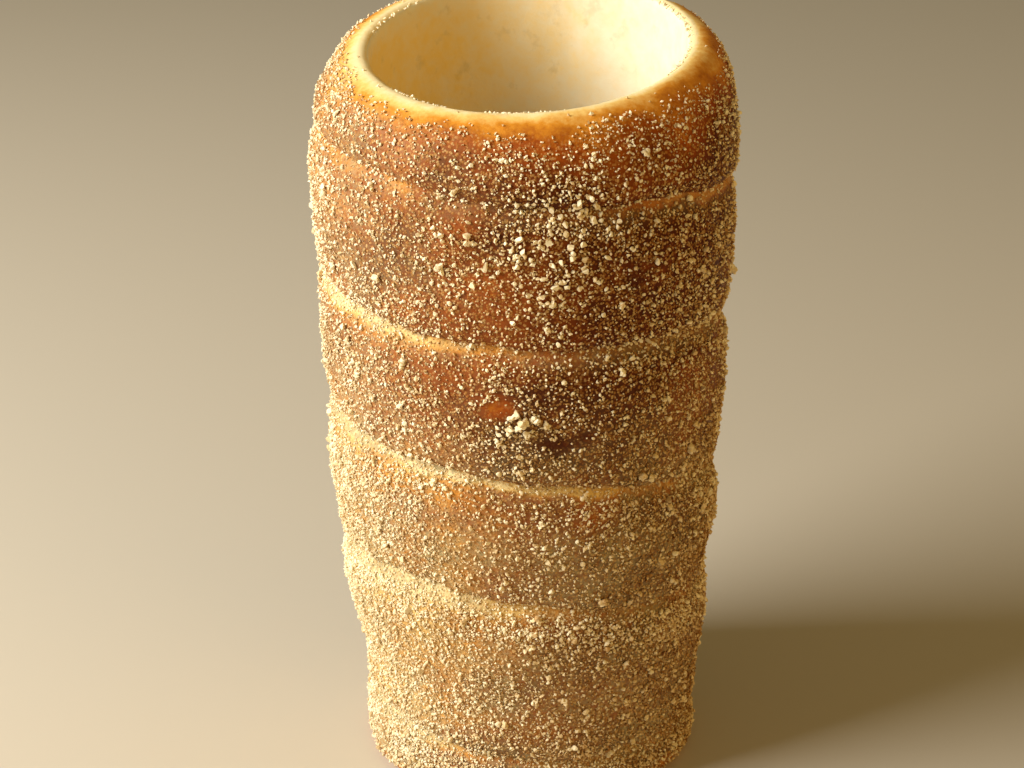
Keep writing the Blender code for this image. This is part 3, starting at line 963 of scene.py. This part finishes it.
def colour_ramp(tree, factor, stops):
    node = add_node(tree, "ShaderNodeValToRGB")
    ramp_of = node.color_ramp
    ramp_of.elements[0].position, ramp_of.elements[0].color = stops[0]
    ramp_of.elements[1].position, ramp_of.elements[1].color = stops[-1]
    for position, colour in stops[1:-1]:
        ramp_of.elements.new(position).color = colour
    tree.links.new(factor, node.inputs["Fac"])
    return node.outputs["Color"]


def mix_colour(tree, factor, first, second):
    node = add_node(tree, "ShaderNodeMix", data_type="RGBA")
    for number, value in ((0, factor), (6, first), (7, second)):
        if isinstance(value, (tuple, float)):
            node.inputs[number].default_value = value
        else:
            tree.links.new(value, node.inputs[number])
    return node.outputs[2]


def relief(tree, height, distance_mm, strength, normal=None):
    node = add_node(tree, "ShaderNodeBump", Strength=strength, Distance=distance_mm * MM)
    tree.links.new(height, node.inputs["Height"])
    if normal is not None:
        tree.links.new(normal, node.inputs["Normal"])
    return node.outputs["Normal"]


def stored(tree, name):
    """A value that the mesh carries."""
    return add_node(tree, "ShaderNodeAttribute", attribute_name=name).outputs["Fac"]


def nudge(tree, mask, amount, value):
    """The value, moved up or down by at most half the amount, as the mask says."""
    return math_node(tree, "MULTIPLY_ADD", math_node(tree, "SUBTRACT", mask, 0.5), amount, value)


# %% [markdown]
# ## The baked crust
# The crust runs from pale dough through gold and caramel to dark brown. A colour ramp reads
# the stored value, nudged by the mottle so that no edge is smooth; its paler left is partly
# painted light. A greyish film of fine sugar lies over it, and the dust over that. The same dust
# also raises the surface a little and makes it duller, as sugar does. The rim carries no sugar,
# so its relief is fainter.

# %% Crust material
crust_finish, tree, shader = new_material("baked_crust")
patches = place_group(tree, mottle, Patch_Size_mm=5.0, Detail=6.0)
specks = place_group(tree, mottle, Patch_Size_mm=1.1, Detail=3.0)
dusting = place_group(tree, dust, Grain_Size_mm=0.52, Amount=0.8)
nudged = nudge(tree, patches.outputs["Mask"], 0.18, stored(tree, "brown_and_painted_light"))
nudged = nudge(tree, specks.outputs["Mask"], 0.12, nudged)
crust_colour = colour_ramp(tree, nudged, (
    (0.0, shade(250, 228, 172)),
    (0.2, shade(242, 200, 116)),
    (0.42, shade(212, 138, 40)),
    (0.66, shade(150, 68, 12)),
    (1.0, shade(68, 16, 3)),
))
cloudy = math_node(tree, "MULTIPLY_ADD", specks.outputs["Mask"], 1.2, 0.4)
film = math_node(tree, "MULTIPLY", stored(tree, "powdered"), cloudy, clamp=True)
crust_colour = mix_colour(tree, film, crust_colour, shade(176, 159, 116))
sugar_colour = colour_ramp(tree, dusting.outputs["Tone"], (
    (0.0, shade(136, 78, 28)),
    (0.5, shade(196, 142, 72)),
    (1.0, shade(234, 200, 136)),
))
stuck = stored(tree, "sugared")
half_stuck = math_node(tree, "MULTIPLY", stuck, 0.5)
dust_share = math_node(tree, "MULTIPLY", dusting.outputs["Mask"], half_stuck)
sugared_colour = mix_colour(tree, dust_share, crust_colour, sugar_colour)
tree.links.new(sugared_colour, shader.inputs["Base Color"])
rough = math_node(tree, "MULTIPLY_ADD", dusting.outputs["Mask"], 0.2, 0.48)
tree.links.new(rough, shader.inputs["Roughness"])
skin = math_node(tree, "MULTIPLY_ADD", stuck, 0.8, 0.2)
pores = relief(tree, math_node(tree, "MULTIPLY", specks.outputs["Height"], skin), 0.25, 0.5)
grains = math_node(tree, "MULTIPLY", dusting.outputs["Height"], stuck)
tree.links.new(relief(tree, grains, 0.2, 0.6, pores), shader.inputs["Normal"])
shader.inputs["Specular IOR Level"].default_value = 0.22
shader.inputs["Specular Tint"].default_value = shade(255, 214, 160)
wall.materials.append(crust_finish)
print("made", crust_finish.name)

# %% [markdown]
# ## The soft inside
# The bore never meets the heat. It keeps the colour of steamed dough, cream with faint clouds
# and smudges, and the mandrel presses it nearly smooth. Its left is painted a little golder, as
# painted shade where the inside of the bore lies in shade.

# %% Bore material
bore_finish, tree, shader = new_material("pale_dough")
clouds = place_group(tree, mottle, Patch_Size_mm=16.0, Detail=3.0)
marks = place_group(tree, mottle, Patch_Size_mm=2.4, Detail=5.0)
smudges = place_group(tree, mottle, Patch_Size_mm=4.2, Detail=4.0)
# The stored value brings painted shade here: more golden on the left of the bore, where it lies in
# shade
painted_shade_and_clouds = math_node(tree, "MULTIPLY_ADD", stored(tree, "brown_and_painted_light"), 0.8, 0.2)
painted_shade_and_clouds = nudge(tree, clouds.outputs["Mask"], 0.24, painted_shade_and_clouds)
painted_shade_and_clouds = nudge(tree, marks.outputs["Mask"], 0.3, painted_shade_and_clouds)
dough_colour = colour_ramp(tree, painted_shade_and_clouds, (
    (0.0, shade(234, 226, 196)),
    (0.4, shade(230, 214, 176)),
    (1.0, shade(238, 199, 108)),
))
smudge = math_node(tree, "SUBTRACT", smudges.outputs["Mask"], 0.7, clamp=True)
smudge = math_node(tree, "MULTIPLY", smudge, 0.75)
dough_colour = mix_colour(tree, smudge, dough_colour, shade(170, 138, 78))
tree.links.new(dough_colour, shader.inputs["Base Color"])
shader.inputs["Roughness"].default_value = 0.7
tree.links.new(relief(tree, marks.outputs["Height"], 0.25, 0.5), shader.inputs["Normal"])
wall.materials.append(bore_finish)
print("made", bore_finish.name)

# %% [markdown]
# ## The crumbs' own finish
# Crumbs of sugar and nut run from tan to cream. Each crumb has one stored tone, so a colour
# ramp over it gives every crumb its own shade, and a little mottle breaks up its faces.

# %% Crumb material
crumb_finish, tree, shader = new_material("sugar_crumb")
flecks = place_group(tree, mottle, Patch_Size_mm=0.8, Detail=2.0)
crumb_tone = nudge(tree, flecks.outputs["Mask"], 0.15, stored(tree, "tone"))
crumb_colour = colour_ramp(tree, crumb_tone, (
    (0.0, shade(122, 74, 28)),
    (0.35, shade(180, 134, 72)),
    (0.7, shade(223, 197, 148)),
    (1.0, shade(247, 234, 199)),
))
tree.links.new(crumb_colour, shader.inputs["Base Color"])
shader.inputs["Roughness"].default_value = 0.6
shader.inputs["Specular IOR Level"].default_value = 0.25
for piece in bpy.context.scene.objects:
    if piece.type == "MESH" and piece.name.startswith(("grit_", "crumbs_", "rim_shreds")):
        piece.data.materials.append(crumb_finish)
        print(piece.name, "gets", crumb_finish.name)

# %% [markdown]
# ## Floor
# A plain pale floor, so that only the cake is looked at.

# %% Floor
bm = bmesh.new()
bmesh.ops.create_grid(bm, x_segments=1, y_segments=1, size=3.0)
floor_mesh = bpy.data.meshes.new("floor")
bm.to_mesh(floor_mesh)
bm.free()
floor = bpy.data.objects.new("floor", floor_mesh)
bpy.context.scene.collection.objects.link(floor)
floor_finish, tree, shader = new_material("floor_paint")
shader.inputs["Base Color"].default_value = shade(200, 189, 170)
shader.inputs["Roughness"].default_value = 0.6
floor_mesh.materials.append(floor_finish)


# %% [markdown]
# ## Light
# The light on the cake is soft and comes from the left. So one big area lamp stands there, a
# little to the front, a weaker and warmer one fills in from the front right, and the world adds
# an even, warm light.

# %% Lamps and world
def lamp(name, place, target, watts, size, colour):
    data = bpy.data.lights.new(name, "AREA")
    data.energy, data.size, data.color = watts, size, colour
    light = bpy.data.objects.new(name, data)
    light.location = place
    light.rotation_euler = (Vector(target) - Vector(place)).to_track_quat("-Z", "Y").to_euler()
    bpy.context.scene.collection.objects.link(light)


lamp("window", (-0.605, -0.18, 0.44), (0.0, 0.0, 0.08), 10.0, 0.45, (1.0, 0.98, 0.93))
lamp("fill", (0.6, -0.5, 0.3), (0.0, 0.0, 0.08), 2.2, 0.7, (1.0, 0.6, 0.12))
world = bpy.data.worlds.new("studio")
world.use_nodes = True
world.node_tree.nodes["Background"].inputs["Color"].default_value = (1.0, 0.82, 0.44, 1.0)
world.node_tree.nodes["Background"].inputs["Strength"].default_value = 0.18
bpy.context.scene.world = world
bpy.context.scene.view_settings.view_transform = "Standard"
